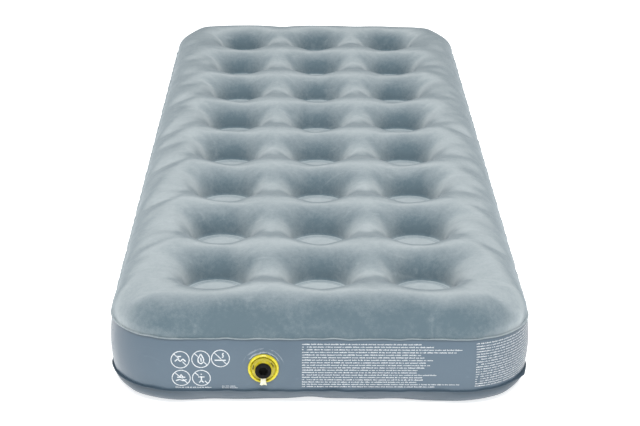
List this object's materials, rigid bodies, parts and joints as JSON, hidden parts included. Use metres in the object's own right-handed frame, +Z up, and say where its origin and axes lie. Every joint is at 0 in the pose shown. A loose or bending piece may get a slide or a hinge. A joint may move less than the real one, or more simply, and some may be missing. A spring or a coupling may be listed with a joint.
{
  "type": "air mattress",
  "caption": "Single inflatable camping mattress with a flocked, dimpled top, smooth side wall, welded coil beams and a screw-in push-plug valve.",
  "frame": {"origin": "centre of the footprint on the floor, valve plug included", "axes": "+X across the bed to the right as seen from the valve end, +Y along the bed away from the valve, +Z up"},
  "size_m": [0.74, 1.8926, 0.19],
  "materials": {
    "flocked_top": "flocked velvet pile",
    "side_pvc": "smooth semi-gloss soft PVC",
    "base_pvc": "smooth soft PVC",
    "coil_pvc": "plain soft PVC",
    "valve_yellow": "moulded, slightly translucent",
    "gasket_rubber": "matt",
    "flap_rubber": "soft silicone",
    "plug_rubber": "satin moulded rubber",
    "tab_rubber": "soft pale plastic",
    "pin_steel": "drawn pin"
  },
  "bodies": {
    "shell": {"top_sheet": "flocked_top", "side_wall": "side_pvc", "bottom_sheet": "base_pvc", "valve_flange": "side_pvc", "valve_seat": "valve_yellow", "coil_beam_1_left": "coil_pvc", "coil_beam_1_middle": "coil_pvc", "coil_beam_1_right": "coil_pvc", "coil_beam_2_left": "coil_pvc", "coil_beam_2_middle": "coil_pvc", "coil_beam_2_right": "coil_pvc", "coil_beam_3_left": "coil_pvc", "coil_beam_3_middle": "coil_pvc", "coil_beam_3_right": "coil_pvc", "coil_beam_4_left": "coil_pvc", "coil_beam_4_middle": "coil_pvc", "coil_beam_4_right": "coil_pvc", "coil_beam_5_left": "coil_pvc", "coil_beam_5_middle": "coil_pvc", "coil_beam_5_right": "coil_pvc", "coil_beam_6_left": "coil_pvc", "coil_beam_6_middle": "coil_pvc", "coil_beam_6_right": "coil_pvc", "coil_beam_7_left": "coil_pvc", "coil_beam_7_middle": "coil_pvc", "coil_beam_7_right": "coil_pvc", "coil_beam_8_left": "coil_pvc", "coil_beam_8_middle": "coil_pvc", "coil_beam_8_right": "coil_pvc"},
    "gasket": {"valve_gasket": "gasket_rubber"},
    "insert": {"valve_insert": "valve_yellow", "flap_hinge_pin": "pin_steel"},
    "flap": {"check_flap": "flap_rubber"},
    "plug": {"valve_plug": "plug_rubber", "plug_pull_tab": "tab_rubber"}
  },
  "joints": [
    {"name": "insert_lift", "type": "slide", "parent": "shell", "child": "gasket", "axis": [0, -1, 0], "range_m": [0, 0.0075]},
    {"name": "insert_turn", "type": "hinge", "parent": "gasket", "child": "insert", "pos_m": [-0.097, -0.93375, 0.079], "axis": [0, -1, 0], "range_deg": [0, 540]},
    {"name": "flap_swing", "type": "hinge", "parent": "insert", "child": "flap", "pos_m": [-0.097, -0.90965, 0.0916], "axis": [1, 0, 0], "range_deg": [0, 45], "stiffness_Nm_per_rad": 0.003, "springref_deg": -5.73},
    {"name": "plug_pull", "type": "slide", "parent": "insert", "child": "plug", "axis": [0, -1, 0], "range_m": [0, 0.024]}
  ],
  "couplings": [
    {"joint": "insert_lift", "follows": "insert_turn", "m_per_rad": 0.00079577}
  ]
}
